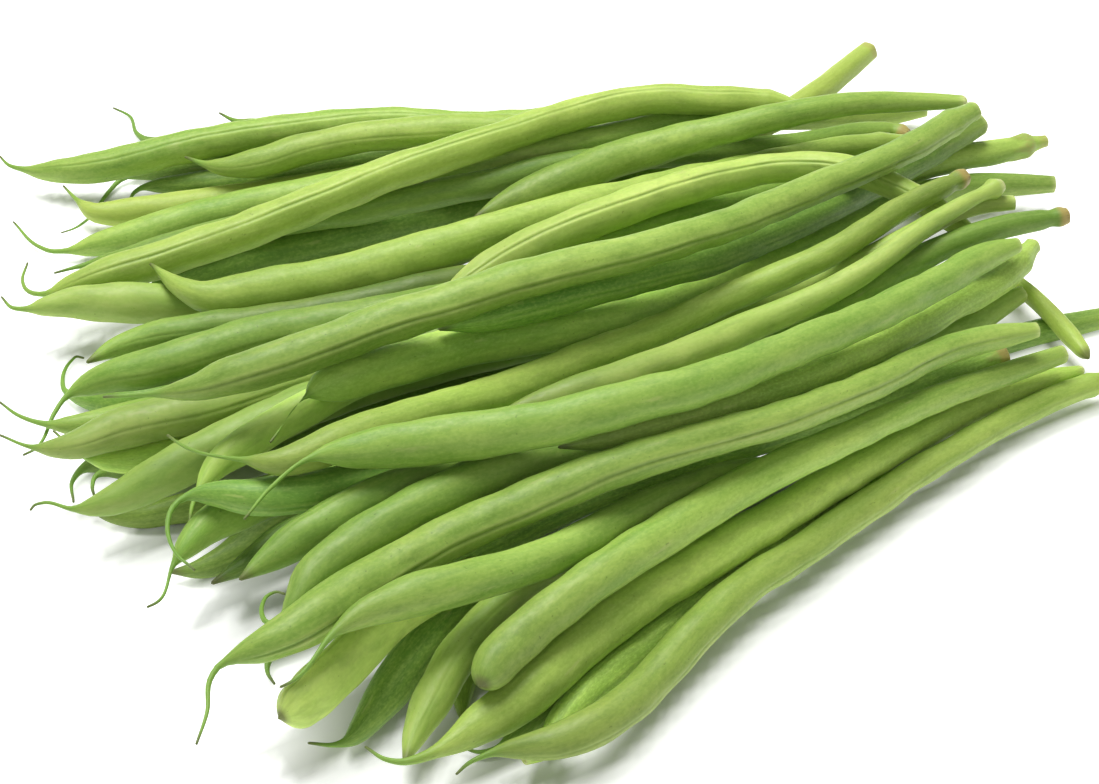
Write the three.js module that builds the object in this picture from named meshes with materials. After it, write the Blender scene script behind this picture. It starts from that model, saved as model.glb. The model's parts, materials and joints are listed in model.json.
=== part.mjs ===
// A bundle of fresh green beans, lying loose on a flat surface. Millimetres, +Z up.
//
// Every bean is one solid: a slim pod with its curled tail at one end and its stem at the other.
// Its course is drawn by hand on a sheet that leans back, as the heap is seen from one point in
// front of it. The beans are then laid down one after another, the lowest first. Each slides along
// its sight lines towards the surface until it lies clear of every bean that is already there, and
// it bends no more than a fresh bean does.

import * as THREE from 'three';

const DEGREE = Math.PI / 180;
const UP = new THREE.Vector3(0, 0, 1);

// ---- The drawing sheet and the point it is seen from ----
const SHEET_UNIT = 0.18;
const SHEET_MIDDLE_X = 550;
const SHEET_MIDDLE_Y = 392;
const SHEET_HEIGHT = 15;
const SIGHT_DISTANCE = 500;
const SIGHT_ELEVATION = 40 * DEGREE;
const BUNDLE_HEADING = 30 * DEGREE;

// ---- How the beans lie ----
const CLEARANCE = 0.3;
const PRESSED_FLAT = 0.45;
const SAMPLE_STEP = 1.5;
const FEWEST_STEPS = 8;
const LENGTH_DIVISIONS = 800;
const BEND_RADIUS = 100;

// ---- The shape of one bean ----
const SIDES = 8;
const TIP_RADIUS = 0.35;
const TAIL_RADIUS = 0.85;
const POINTED_SHOULDER = 19;
const BLUNT_SHOULDER = 8;
const NECK_LENGTH = 13;
const TAPER_FROM = 0.35;
const TAPER_TO = 0.95;
const RING_TOLERANCE = 0.36;
const LONGEST_RING_STEP = 24;

const TONES = {
  light: 0xa9c957,
  fresh: 0x86b044,
  deep: 0x5c8a34,
  olive: 0x8a9a3c,
};

// ---- The beans, lowest first ----
// width: the pod's width near its tail and near its stem. stem: the stem's own width at its cut end.
// tail: how many of the line's first points are the thin tail. tailWidth: the tail's width where it
// meets the pod, if it isn't a thin one. line: from the tail's tip to the stem.
const BEANS = [
  {
    name: 'bean_base_01',
    tone: 'deep',
    width: [6.8, 5.7],
    stem: 2.8,
    tail: 3,
    line: [[74, 502], [72, 486], [79, 472], [120, 456], [180, 440], [260, 416], [340, 391], [430, 366],
      [520, 345], [620, 318]],
  },
  {
    name: 'bean_base_02',
    tone: 'deep',
    width: [6.6, 5.7],
    stem: 2.8,
    tail: 3,
    line: [[95, 497], [93, 485], [99, 474], [130, 470], [190, 455], [260, 440], [340, 425], [430, 402],
      [520, 378], [620, 350], [700, 325]],
  },
  {
    name: 'bean_base_03',
    tone: 'deep',
    width: [7.8, 6.0],
    stem: 3.0,
    tail: 0,
    line: [[140, 292], [185, 280], [240, 262], [300, 248], [380, 228], [460, 212], [540, 198],
      [620, 180], [700, 164], [780, 152]],
  },
  {
    name: 'bean_base_04',
    tone: 'deep',
    width: [7.0, 5.7],
    stem: 3.0,
    tail: 0,
    line: [[300, 350], [400, 326], [500, 300], [600, 276], [700, 248], [790, 218], [860, 190]],
  },
  {
    name: 'bean_base_05',
    tone: 'deep',
    width: [7.4, 5.9],
    stem: 3.0,
    tail: 0,
    line: [[400, 452], [500, 430], [600, 408], [700, 380], [800, 342], [890, 302], [950, 272]],
  },
  {
    name: 'bean_base_06',
    tone: 'deep',
    width: [6.5, 5.7],
    stem: 2.8,
    tail: 3,
    line: [[275, 684], [269, 675], [268, 662], [300, 635], [345, 602], [420, 558], [500, 519],
      [570, 488]],
  },
  {
    name: 'bean_base_07',
    tone: 'deep',
    width: [6.1, 5.1],
    stem: 2.7,
    tail: 3,
    line: [[462, 747], [480, 752], [502, 746], [530, 722], [570, 685], [630, 632], [700, 578],
      [780, 520], [860, 470], [930, 430], [990, 402]],
  },
  {
    name: 'bean_base_08',
    tone: 'deep',
    width: [6.4, 5.6],
    stem: 2.8,
    tail: 0,
    line: [[570, 596], [640, 548], [720, 500], [800, 458], [880, 420], [950, 390]],
  },
  {
    name: 'bean_back_01',
    tone: 'deep',
    width: [5.9, 4.9],
    stem: 2.7,
    tail: 3,
    line: [[114, 108], [130, 116], [142, 138], [190, 149], [260, 141], [340, 133], [420, 131],
      [500, 129], [580, 125]],
  },
  {
    name: 'bean_back_02',
    tone: 'deep',
    width: [5.5, 4.9],
    stem: 2.7,
    tail: 2,
    line: [[220, 113], [236, 121], [280, 130], [340, 129], [410, 128], [480, 130], [560, 127]],
  },
  {
    name: 'bean_back_03',
    tone: 'deep',
    width: [5.7, 5.1],
    stem: 2.7,
    tail: 5,
    line: [[62, 233], [80, 226], [95, 211], [111, 190], [126, 177], [160, 171], [210, 165], [260, 156],
      [330, 146], [400, 138], [480, 133], [560, 128]],
  },
  {
    name: 'bean_back_04',
    tone: 'deep',
    width: [5.7, 5.1],
    stem: 2.7,
    tail: 3,
    line: [[129, 204], [132, 196], [142, 188], [180, 185], [230, 180], [280, 172], [350, 160],
      [430, 150], [510, 142]],
  },
  {
    name: 'bean_back_05',
    tone: 'fresh',
    width: [6.9, 5.6],
    stem: 2.8,
    tail: 3,
    line: [[0, 156], [11, 166], [22, 169], [70, 171], [139, 158], [200, 145], [254, 134], [325, 126],
      [400, 122], [475, 125], [560, 121], [640, 119]],
  },
  {
    name: 'bean_back_06',
    tone: 'fresh',
    width: [6.8, 5.0],
    stem: 2.5,
    tail: 2,
    line: [[186, 157], [204, 164], [228, 167], [262, 162], [307, 148], [361, 138], [405, 133],
      [450, 130], [530, 129], [610, 126], [700, 122], [790, 118], [867, 116], [926, 111]],
  },
  {
    name: 'bean_back_07',
    tone: 'fresh',
    width: [6.4, 4.9],
    stem: 4.2,
    tail: 2,
    line: [[64, 186], [80, 202], [98, 213], [132, 211], [179, 208], [240, 199], [300, 190], [370, 178],
      [450, 170], [540, 165], [620, 156], [700, 140], [750, 129], [786, 114], [816, 94], [869, 51]],
  },
  {
    name: 'bean_back_08',
    tone: 'fresh',
    width: [7.0, 5.4],
    stem: 2.8,
    tail: 4,
    line: [[14, 222], [30, 238], [46, 250], [66, 251], [107, 243], [161, 228], [214, 214], [260, 203],
      [300, 195], [379, 179], [440, 166], [533, 150], [601, 139], [654, 127], [705, 117], [770, 111]],
  },
  {
    name: 'bean_middle_01',
    tone: 'olive',
    width: [6.1, 4.6],
    stem: 2.8,
    tail: 3,
    line: [[55, 273], [71, 268], [89, 266], [140, 256], [200, 240], [271, 222], [330, 214], [379, 206],
      [440, 193], [511, 178], [565, 165], [640, 157], [740, 150], [790, 145], [841, 138], [893, 131],
      [908, 136]],
  },
  {
    name: 'bean_top_01',
    tone: 'fresh',
    width: [7.7, 5.9],
    stem: 3.2,
    tail: 4,
    line: [[28, 263], [23, 281], [30, 292], [46, 294], [89, 281], [130, 268], [161, 259], [200, 247],
      [271, 222], [361, 184], [440, 158], [494, 140], [565, 117], [619, 104], [665, 99], [719, 101],
      [769, 103], [800, 108]],
  },
  {
    name: 'bean_top_02',
    tone: 'fresh',
    width: [7.2, 3.8],
    stem: 2.7,
    tail: 0,
    line: [[476, 217], [494, 209], [529, 195], [565, 180], [619, 158], [681, 142], [734, 126],
      [787, 115], [841, 105], [900, 102], [962, 102]],
  },
  {
    name: 'bean_left_01',
    tone: 'light',
    width: [7.6, 6.1],
    stem: 3.0,
    tail: 3,
    line: [[2, 297], [11, 307], [27, 309], [71, 303], [98, 303], [143, 302], [180, 304], [230, 302],
      [300, 291], [380, 270], [470, 244], [560, 218], [640, 197]],
  },
  {
    name: 'bean_top_03',
    tone: 'fresh',
    width: [8.5, 5.1],
    stem: 3.2,
    tail: 4,
    tailWidth: 4.4,
    line: [[151, 264], [160, 270], [172, 280], [186, 290], [206, 297], [238, 295], [271, 290],
      [320, 281], [360, 272], [400, 262], [440, 249], [494, 232], [565, 212], [619, 199], [680, 184],
      [740, 171], [805, 156], [859, 147], [912, 141]],
  },
  {
    name: 'bean_left_02',
    tone: 'deep',
    width: [6.8, 5.7],
    stem: 2.8,
    tail: 5,
    line: [[84, 358], [75, 357], [69, 369], [63, 381], [68, 393], [107, 402], [143, 403], [200, 392],
      [270, 372], [350, 350], [430, 325]],
  },
  {
    name: 'bean_left_03',
    tone: 'fresh',
    width: [6.4, 5.4],
    stem: 2.8,
    tail: 0,
    line: [[88, 362], [100, 355], [118, 347], [142, 340], [170, 334], [205, 329], [270, 320],
      [340, 306], [420, 289], [500, 268]],
  },
  {
    name: 'bean_left_04',
    tone: 'fresh',
    width: [8.0, 5.7],
    stem: 3.0,
    tail: 5,
    line: [[24, 455], [36, 449], [48, 431], [55, 413], [69, 395], [107, 378], [152, 368], [200, 352],
      [241, 341], [300, 330], [360, 318], [450, 300], [540, 278], [640, 254], [730, 228]],
  },
  {
    name: 'bean_left_05',
    tone: 'fresh',
    width: [5.9, 5.3],
    stem: 2.8,
    tail: 3,
    line: [[0, 402], [18, 415], [46, 424], [80, 425], [110, 421], [170, 410], [240, 395], [320, 375],
      [400, 352], [480, 330]],
  },
  {
    name: 'bean_left_06',
    tone: 'fresh',
    width: [6.1, 5.5],
    stem: 2.8,
    tail: 3,
    line: [[54, 431], [71, 444], [88, 458], [116, 462], [150, 458], [190, 450], [240, 438],
      [330, 410]],
  },
  {
    name: 'bean_left_07',
    tone: 'deep',
    width: [5.5, 4.9],
    stem: 2.7,
    tail: 0,
    line: [[94, 511], [115, 517], [150, 516], [190, 507], [240, 496], [310, 480], [390, 465],
      [480, 445], [560, 425]],
  },
  {
    name: 'bean_left_08',
    tone: 'light',
    width: [7.7, 5.9],
    stem: 3.0,
    tail: 3,
    line: [[0, 435], [18, 442], [38, 448], [71, 446], [107, 433], [152, 422], [190, 413], [232, 402],
      [290, 385], [350, 366], [430, 343], [510, 320], [590, 298], [670, 274], [750, 246]],
  },
  {
    name: 'bean_left_09',
    tone: 'light',
    width: [7.8, 5.9],
    stem: 3.0,
    tail: 4,
    line: [[31, 510], [37, 504], [50, 503], [76, 509], [100, 505], [125, 495], [161, 476], [193, 460],
      [240, 435], [290, 412], [350, 390], [430, 366], [520, 345], [610, 326], [700, 302], [780, 274]],
  },
  {
    name: 'bean_left_10',
    tone: 'light',
    width: [6.4, 5.4],
    stem: 2.8,
    tail: 3,
    line: [[190, 522], [193, 505], [199, 491], [210, 474], [232, 454], [262, 434], [300, 412],
      [340, 390], [400, 362], [490, 330]],
  },
  {
    name: 'bean_end_01',
    tone: 'fresh',
    width: [5.9, 5.0],
    stem: 4.0,
    tail: 0,
    line: [[560, 250], [640, 228], [720, 205], [800, 182], [860, 168], [900, 160], [942, 151]],
  },
  {
    name: 'bean_end_02',
    tone: 'fresh',
    width: [6.9, 5.0],
    stem: 2.7,
    tail: 0,
    line: [[620, 288], [690, 266], [750, 240], [820, 208], [880, 181], [920, 168], [960, 158],
      [1000, 151], [1046, 141]],
  },
  {
    name: 'bean_middle_02',
    tone: 'fresh',
    width: [7.6, 4.8],
    stem: 3.4,
    tail: 3,
    blunt: true,
    tailWidth: 2.2,
    line: [[271, 442], [289, 422], [314, 391], [352, 378], [396, 365], [440, 352], [494, 339],
      [565, 330], [619, 318], [680, 297], [734, 277], [787, 255], [841, 232], [880, 212], [920, 196],
      [960, 187], [1054, 184]],
  },
  {
    name: 'bean_middle_03',
    tone: 'deep',
    width: [7.0, 5.8],
    stem: 4.4,
    tail: 0,
    line: [[440, 329], [494, 315], [583, 290], [663, 270], [719, 255], [780, 230], [835, 204],
      [880, 180], [918, 160], [945, 143], [980, 124]],
  },
  {
    name: 'bean_top_04',
    tone: 'light',
    width: [7.4, 5.0],
    stem: 3.0,
    tail: 0,
    line: [[440, 298], [469, 281], [529, 248], [601, 217], [654, 197], [700, 184], [740, 175],
      [780, 168], [820, 166], [855, 171], [890, 185], [925, 203], [952, 221], [974, 237]],
  },
  {
    name: 'bean_top_05',
    tone: 'fresh',
    width: [7.7, 5.4],
    stem: 4.2,
    tail: 3,
    tailWidth: 2.6,
    line: [[104, 397], [140, 395], [170, 392], [200, 387], [236, 374], [289, 358], [343, 339],
      [414, 315], [479, 293], [511, 283], [583, 264], [663, 245], [719, 228], [751, 214], [823, 186],
      [876, 163], [912, 147], [945, 127], [974, 111]],
  },
  {
    name: 'bean_middle_04',
    tone: 'light',
    width: [5.1, 3.8],
    stem: 2.8,
    tail: 0,
    line: [[560, 378], [620, 358], [681, 335], [740, 313], [805, 286], [870, 258], [925, 228],
      [970, 207], [1014, 203]],
  },
  {
    name: 'bean_left_11',
    tone: 'deep',
    width: [6.8, 5.3],
    stem: 2.7,
    tail: 0,
    line: [[172, 572], [200, 569], [227, 558], [263, 536], [300, 516], [380, 495], [460, 475],
      [560, 452], [650, 425], [740, 392]],
  },
  {
    name: 'bean_left_12',
    tone: 'fresh',
    width: [7.4, 5.3],
    stem: 2.7,
    tail: 5,
    line: [[148, 607], [155, 604], [161, 592], [167, 577], [175, 563], [187, 547], [204, 531],
      [229, 514], [262, 500], [300, 489], [380, 472], [460, 455], [550, 432], [640, 405]],
  },
  {
    name: 'bean_left_13',
    tone: 'deep',
    width: [5.7, 4.8],
    stem: 3.6,
    tail: 0,
    line: [[213, 583], [245, 565], [281, 540], [340, 515], [420, 490], [520, 462], [620, 435],
      [720, 408], [820, 385], [900, 368], [980, 348], [1040, 333], [1070, 325], [1118, 315]],
  },
  {
    name: 'bean_left_14',
    tone: 'deep',
    width: [7.2, 5.7],
    stem: 3.0,
    tail: 6,
    line: [[195, 570], [183, 561], [173, 547], [168, 526], [173, 508], [186, 497], [210, 494],
      [245, 497], [290, 494], [330, 487], [380, 478], [430, 468], [500, 455], [580, 436]],
  },
  {
    name: 'bean_left_15',
    tone: 'fresh',
    width: [7.3, 4.4],
    stem: 3.0,
    tail: 0,
    line: [[241, 579], [255, 569], [275, 555], [316, 530], [360, 507], [400, 488], [450, 468],
      [540, 440], [640, 405], [740, 362], [820, 318], [890, 277], [940, 249], [990, 230], [1067, 216]],
  },
  {
    name: 'bean_right_01',
    tone: 'fresh',
    width: [3.6, 3.4],
    stem: 2.8,
    tail: 0,
    blunt: true,
    line: [[1089, 358], [1058, 321], [1030, 295], [1006, 276], [985, 264]],
  },
  {
    name: 'bean_front_01',
    tone: 'fresh',
    width: [6.6, 4.4],
    stem: 3.2,
    tail: 4,
    line: [[168, 435], [179, 444], [205, 452], [245, 460], [285, 462], [343, 441], [400, 421],
      [440, 409], [494, 395], [547, 375], [592, 355], [654, 333], [719, 303], [790, 272], [841, 247],
      [880, 222], [912, 203], [965, 177]],
  },
  {
    name: 'bean_front_02',
    tone: 'light',
    width: [6.2, 3.0],
    stem: 1.9,
    tail: 0,
    line: [[500, 414], [547, 401], [619, 380], [680, 357], [751, 327], [816, 298], [859, 275],
      [890, 254], [908, 240], [928, 226], [951, 211], [975, 198], [998, 187]],
  },
  {
    name: 'bean_front_03',
    tone: 'fresh',
    width: [7.2, 5.5],
    stem: 3.2,
    tail: 6,
    line: [[285, 594], [274, 592], [265, 600], [262, 612], [268, 623], [281, 620], [296, 604],
      [310, 582], [336, 557], [376, 530], [430, 500], [500, 470], [583, 448], [654, 432], [719, 415],
      [780, 398], [850, 374], [900, 354], [967, 323], [1022, 294]],
  },
  {
    name: 'bean_front_04',
    tone: 'olive',
    width: [6.8, 5.8],
    stem: 3.6,
    tail: 0,
    line: [[560, 447], [630, 430], [700, 411], [751, 397], [823, 370], [894, 338], [959, 302],
      [1003, 277], [1033, 246]],
  },
  {
    name: 'bean_front_05',
    tone: 'fresh',
    width: [8.0, 5.7],
    stem: 2.8,
    tail: 4,
    line: [[245, 519], [271, 488], [289, 472], [311, 458], [340, 453], [388, 447], [440, 440],
      [511, 430], [583, 416], [654, 396], [719, 378], [805, 344], [860, 321], [900, 303], [940, 283],
      [975, 262], [1000, 251], [1018, 245]],
  },
  {
    name: 'bean_front_06',
    tone: 'deep',
    width: [5.7, 4.8],
    stem: 2.8,
    tail: 0,
    line: [[440, 575], [495, 544], [545, 517], [600, 495], [680, 465], [760, 440], [840, 415],
      [900, 394], [950, 376], [1003, 355]],
  },
  {
    name: 'bean_front_07',
    tone: 'deep',
    width: [5.6, 4.8],
    stem: 2.7,
    tail: 0,
    line: [[464, 724], [463, 690], [478, 642], [510, 604], [560, 574], [640, 535], [720, 492]],
  },
  {
    name: 'bean_front_08',
    tone: 'deep',
    width: [7.3, 5.3],
    stem: 2.7,
    tail: 2,
    line: [[309, 743], [341, 744], [356, 735], [374, 713], [398, 678], [428, 638], [467, 602],
      [518, 577], [590, 552]],
  },
  {
    name: 'bean_front_09',
    tone: 'light',
    width: [8.2, 5.6],
    stem: 2.7,
    tail: 0,
    blunt: true,
    line: [[280, 718], [305, 700], [341, 668], [368, 640], [402, 612], [440, 590], [500, 560]],
  },
  {
    name: 'bean_front_10',
    tone: 'light',
    width: [7.0, 5.3],
    stem: 2.7,
    tail: 0,
    line: [[405, 763], [412, 742], [426, 713], [450, 668], [480, 627], [515, 597], [560, 572],
      [620, 545]],
  },
  {
    name: 'bean_front_11',
    tone: 'fresh',
    width: [7.9, 5.2],
    stem: 2.8,
    tail: 5,
    line: [[197, 744], [207, 715], [210, 690], [213, 673], [224, 663], [260, 648], [305, 624],
      [345, 595], [411, 558], [465, 530], [519, 506], [560, 488], [619, 467], [680, 447], [760, 425],
      [835, 401], [894, 374], [959, 346], [1037, 330]],
  },
  {
    name: 'bean_front_12',
    tone: 'fresh',
    width: [7.1, 5.3],
    stem: 2.8,
    tail: 5,
    tailWidth: 2.4,
    line: [[281, 687], [288, 684], [301, 669], [319, 649], [342, 627], [376, 608], [429, 592],
      [483, 578], [545, 558], [590, 538], [631, 515], [685, 490], [740, 474], [790, 464]],
  },
  {
    name: 'bean_front_13',
    tone: 'deep',
    width: [6.0, 5.2],
    stem: 2.5,
    tail: 0,
    line: [[900, 470], [850, 501], [790, 540], [740, 575], [700, 603], [650, 642], [598, 685],
      [562, 722], [548, 745], [524, 758]],
  },
  {
    name: 'bean_front_14',
    tone: 'fresh',
    width: [8.2, 4.8],
    stem: 2.1,
    tail: 4,
    tailWidth: 2.6,
    line: [[366, 747], [380, 757], [403, 762], [440, 750], [470, 732], [510, 705], [560, 664],
      [596, 632], [640, 600], [700, 563], [760, 527], [800, 504], [840, 479], [880, 456], [919, 436],
      [960, 414], [1010, 391], [1080, 371]],
  },
  {
    name: 'bean_front_15',
    tone: 'fresh',
    width: [7.3, 4.1],
    stem: 3.4,
    tail: 0,
    blunt: true,
    line: [[481, 686], [498, 661], [525, 635], [560, 606], [600, 576], [640, 549], [680, 524],
      [720, 501], [760, 478], [800, 459], [840, 441], [880, 423], [920, 405], [960, 390], [1000, 376],
      [1040, 362], [1063, 354]],
  },
  {
    name: 'bean_front_16',
    tone: 'fresh',
    width: [6.9, 4.7],
    stem: 3.0,
    tail: 3,
    line: [[457, 774], [471, 762], [490, 754], [525, 747], [560, 741], [595, 727], [628, 704],
      [665, 667], [700, 629], [720, 608], [760, 578], [800, 552], [840, 525], [872, 503], [919, 474],
      [960, 447], [1010, 420], [1060, 396], [1120, 376]],
  },
];

// ---- The sheet in space ----
// +X runs along the beans' common direction, so the sheet's own right is turned away from it.
const SIGHT_ORIGIN = new THREE.Vector3(0, 0, SHEET_HEIGHT);
const SHEET_RIGHT = new THREE.Vector3(Math.cos(BUNDLE_HEADING), -Math.sin(BUNDLE_HEADING), 0);
const SIGHT_FORWARD = new THREE.Vector3(Math.sin(BUNDLE_HEADING), Math.cos(BUNDLE_HEADING), 0)
  .multiplyScalar(Math.cos(SIGHT_ELEVATION))
  .add(new THREE.Vector3(0, 0, -Math.sin(SIGHT_ELEVATION)));
const SHEET_UP = SHEET_RIGHT.clone().cross(SIGHT_FORWARD);
const EYE = SIGHT_ORIGIN.clone().addScaledVector(SIGHT_FORWARD, -SIGHT_DISTANCE);

// The direction from the point of sight through a point of the sheet.
function sightLine(x, y) {
  return SIGHT_ORIGIN.clone()
    .addScaledVector(SHEET_RIGHT, (x - SHEET_MIDDLE_X) * SHEET_UNIT)
    .addScaledVector(SHEET_UP, (SHEET_MIDDLE_Y - y) * SHEET_UNIT)
    .sub(EYE)
    .normalize();
}

// The point at height z on the sight line with this direction.
function atHeight(direction, z) {
  return EYE.clone().addScaledVector(direction, (z - EYE.z) / direction.z);
}

function clamp01(value) {
  return Math.min(1, Math.max(0, value));
}

// ---- One bean's course and thickness ----

// The drawn line as sight lines, evenly spaced by their length along the surface.
function sightLinesOf(bean) {
  const floorPoints = bean.line.map(([x, y]) => atHeight(sightLine(x, y), 0));
  const curve = new THREE.CatmullRomCurve3(floorPoints, false, 'centripetal');
  curve.arcLengthDivisions = LENGTH_DIVISIONS;
  const length = curve.getLength();
  const count = Math.max(FEWEST_STEPS, Math.round(length / SAMPLE_STEP));
  const directions = curve.getSpacedPoints(count).map((point) => point.sub(EYE).normalize());
  return { length, directions, tailLength: tailLengthOf(bean, floorPoints, curve) };
}

// How far along the surface the thin tail reaches.
function tailLengthOf(bean, floorPoints, curve) {
  if (bean.tail === 0) return 0;
  const share = (bean.tail - 1) / (floorPoints.length - 1);
  const lengths = curve.getLengths();
  return lengths[Math.round(share * (lengths.length - 1))];
}

// The pod's radius at a distance along it: a thin tail, a shoulder, the body, and a neck to the stem.
function radiusAt(bean, distance, length, tailLength) {
  const tailRadius = bean.tailWidth ? bean.tailWidth / 2 : TAIL_RADIUS;
  if (distance < tailLength) {
    return THREE.MathUtils.lerp(TIP_RADIUS, tailRadius, distance / tailLength);
  }
  const [startWidth, endWidth] = bean.width;
  const along = clamp01((distance / length - TAPER_FROM) / (TAPER_TO - TAPER_FROM));
  const body = THREE.MathUtils.lerp(startWidth, endWidth, along) / 2;
  const shoulderLength = bean.blunt ? BLUNT_SHOULDER : POINTED_SHOULDER;
  const fromTail = 1 - clamp01((distance - tailLength) / shoulderLength);
  const shoulder = bean.blunt ? Math.sqrt(1 - fromTail ** 2) : 1 - fromTail ** 2;
  const neck = clamp01((length - distance) / NECK_LENGTH);
  const neckShare = 1 - (1 - neck) ** 2;
  const start = tailLength > 0 ? tailRadius : TIP_RADIUS;
  const swollen = start + (body - start) * shoulder;
  return bean.stem / 2 + (swollen - bean.stem / 2) * neckShare;
}

// ---- Laying the beans down ----

// The lowest height at which a ball of this radius on this sight line clears the balls laid before.
function lowestClearHeight(direction, radius, laid) {
  let nearest = (radius - PRESSED_FLAT - EYE.z) / direction.z;
  for (const ball of laid) {
    const alongSight = ball.fromEye.dot(direction);
    const reach = radius + ball.radius + CLEARANCE;
    const aside = ball.fromEye.lengthSq() - alongSight ** 2;
    if (aside < reach ** 2) {
      nearest = Math.min(nearest, alongSight - Math.sqrt(reach ** 2 - aside));
    }
  }
  return EYE.z + nearest * direction.z;
}

// The lowest gently bent course over these heights: no hill and no dip is tighter than BEND_RADIUS.
function gentlyBent(heights, step) {
  const sag = (i, j) => ((i - j) * step) ** 2 / (2 * BEND_RADIUS);
  const every = heights.map((_, i) => i);
  const hills = every.map((i) => Math.max(...every.map((j) => heights[j] - sag(i, j))));
  const bowls = every.map((i) => Math.max(...every.map((j) => hills[j] - sag(i, j))));
  return every.map((i) => Math.min(...every.map((j) => bowls[j] + sag(i, j))));
}

// One bean laid on those before it: the points of its centre line with its radius at each.
function layDown(bean, laid) {
  const { length, directions, tailLength } = sightLinesOf(bean);
  const step = length / (directions.length - 1);
  const radii = directions.map((_, i) => radiusAt(bean, i * step, length, tailLength));
  const lowest = directions.map((direction, i) => lowestClearHeight(direction, radii[i], laid));
  const heights = gentlyBent(lowest, step);
  return directions.map((direction, i) => ({
    point: atHeight(direction, heights[i]),
    radius: radii[i],
  }));
}

// ---- One bean's solid ----

// Keeps only the samples that the course and the thickness need.
function ringsOf(course) {
  const kept = new Set([0, course.length - 1]);
  const split = (first, last) => {
    let worst = first;
    let worstError = 0;
    for (let i = first + 1; i < last; i += 1) {
      const share = (i - first) / (last - first);
      const straight = course[first].point.clone().lerp(course[last].point, share);
      const radius = THREE.MathUtils.lerp(course[first].radius, course[last].radius, share);
      const error = straight.distanceTo(course[i].point) + Math.abs(radius - course[i].radius);
      if (error > worstError) {
        worst = i;
        worstError = error;
      }
    }
    const span = course[first].point.distanceTo(course[last].point);
    if (last - first < 2 || (worstError < RING_TOLERANCE && span < LONGEST_RING_STEP)) return;
    const middle = worstError < RING_TOLERANCE ? Math.round((first + last) / 2) : worst;
    kept.add(middle);
    split(first, middle);
    split(middle, last);
  };
  split(0, course.length - 1);
  return [...kept].sort((a, b) => a - b).map((i) => course[i]);
}

// A closed tube of rings, pointed at the tail and cut square at the stem. Nothing reaches below z 0.
function podGeometry(course) {
  const rings = ringsOf(course);
  const positions = [];
  const triangles = [];
  const put = (point) => positions.push(point.x, point.y, Math.max(0, point.z));
  const tangents = rings.map((ring, i) => {
    const before = rings[Math.max(0, i - 1)].point;
    const after = rings[Math.min(rings.length - 1, i + 1)].point;
    return after.clone().sub(before).normalize();
  });
  put(rings[0].point.clone().addScaledVector(tangents[0], -rings[0].radius));
  rings.forEach((ring, i) => {
    const side = tangents[i].clone().cross(UP).normalize();
    const over = side.clone().cross(tangents[i]);
    for (let k = 0; k < SIDES; k += 1) {
      const turn = ((k + 0.5) * 2 * Math.PI) / SIDES;
      put(ring.point.clone()
        .addScaledVector(side, ring.radius * Math.cos(turn))
        .addScaledVector(over, ring.radius * Math.sin(turn)));
    }
  });
  const cutEnd = rings.length * SIDES + 1;
  put(rings[rings.length - 1].point);
  const vertex = (ring, k) => 1 + ring * SIDES + (k % SIDES);
  for (let k = 0; k < SIDES; k += 1) {
    triangles.push(0, vertex(0, k), vertex(0, k + 1));
    for (let i = 0; i + 1 < rings.length; i += 1) {
      triangles.push(vertex(i, k), vertex(i + 1, k), vertex(i, k + 1));
      triangles.push(vertex(i, k + 1), vertex(i + 1, k), vertex(i + 1, k + 1));
    }
    triangles.push(cutEnd, vertex(rings.length - 1, k + 1), vertex(rings.length - 1, k));
  }
  const geometry = new THREE.BufferGeometry();
  geometry.setAttribute('position', new THREE.Float32BufferAttribute(positions, 3));
  geometry.setIndex(triangles);
  return geometry;
}

// ---- The bundle ----
const skins = Object.fromEntries(
  Object.entries(TONES).map(([tone, color]) => [
    tone,
    new THREE.MeshStandardMaterial({ name: `skin_${tone}`, color, roughness: 0.55, metalness: 0 }),
  ]),
);

const bundle = new THREE.Group();
const laid = [];
for (const bean of BEANS) {
  const course = layDown(bean, laid);
  for (const { point, radius } of course) {
    laid.push({ fromEye: point.clone().sub(EYE), radius });
  }
  const mesh = new THREE.Mesh(podGeometry(course), skins[bean.tone]);
  mesh.name = bean.name;
  bundle.add(mesh);
}

// The origin is the middle of the bundle's box, on the surface.
const box = new THREE.Box3().setFromObject(bundle);
const middle = box.getCenter(new THREE.Vector3());
bundle.position.set(-middle.x, -middle.y, 0);

export default bundle;
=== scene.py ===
"""The looks of a loose heap of fresh green beans.

Every bean of the CAD frame is skinned anew: its centre line and thickness are read back from the
rings of its own solid, and a finer pod is built around them, with its seams, seed swellings, thin
tail and stem end. Lengths are in millimetres until a mesh is made.
"""
import json
import math
from types import SimpleNamespace

import bpy
import numpy as np
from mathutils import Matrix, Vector


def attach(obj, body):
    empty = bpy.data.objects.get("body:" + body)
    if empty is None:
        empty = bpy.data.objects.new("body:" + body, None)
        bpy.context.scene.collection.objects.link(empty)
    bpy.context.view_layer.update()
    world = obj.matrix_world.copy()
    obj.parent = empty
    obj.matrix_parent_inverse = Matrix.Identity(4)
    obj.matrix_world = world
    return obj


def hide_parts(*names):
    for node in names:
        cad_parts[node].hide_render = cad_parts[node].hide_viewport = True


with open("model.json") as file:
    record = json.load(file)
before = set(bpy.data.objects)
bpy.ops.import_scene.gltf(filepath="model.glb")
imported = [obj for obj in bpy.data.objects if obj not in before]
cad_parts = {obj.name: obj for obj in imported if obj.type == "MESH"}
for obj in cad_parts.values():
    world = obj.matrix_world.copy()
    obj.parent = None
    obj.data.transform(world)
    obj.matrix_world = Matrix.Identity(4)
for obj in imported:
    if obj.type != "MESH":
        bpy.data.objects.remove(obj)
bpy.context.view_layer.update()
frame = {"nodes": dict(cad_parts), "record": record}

MM = 0.001
TURN = 2 * math.pi
SEED = 7

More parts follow.
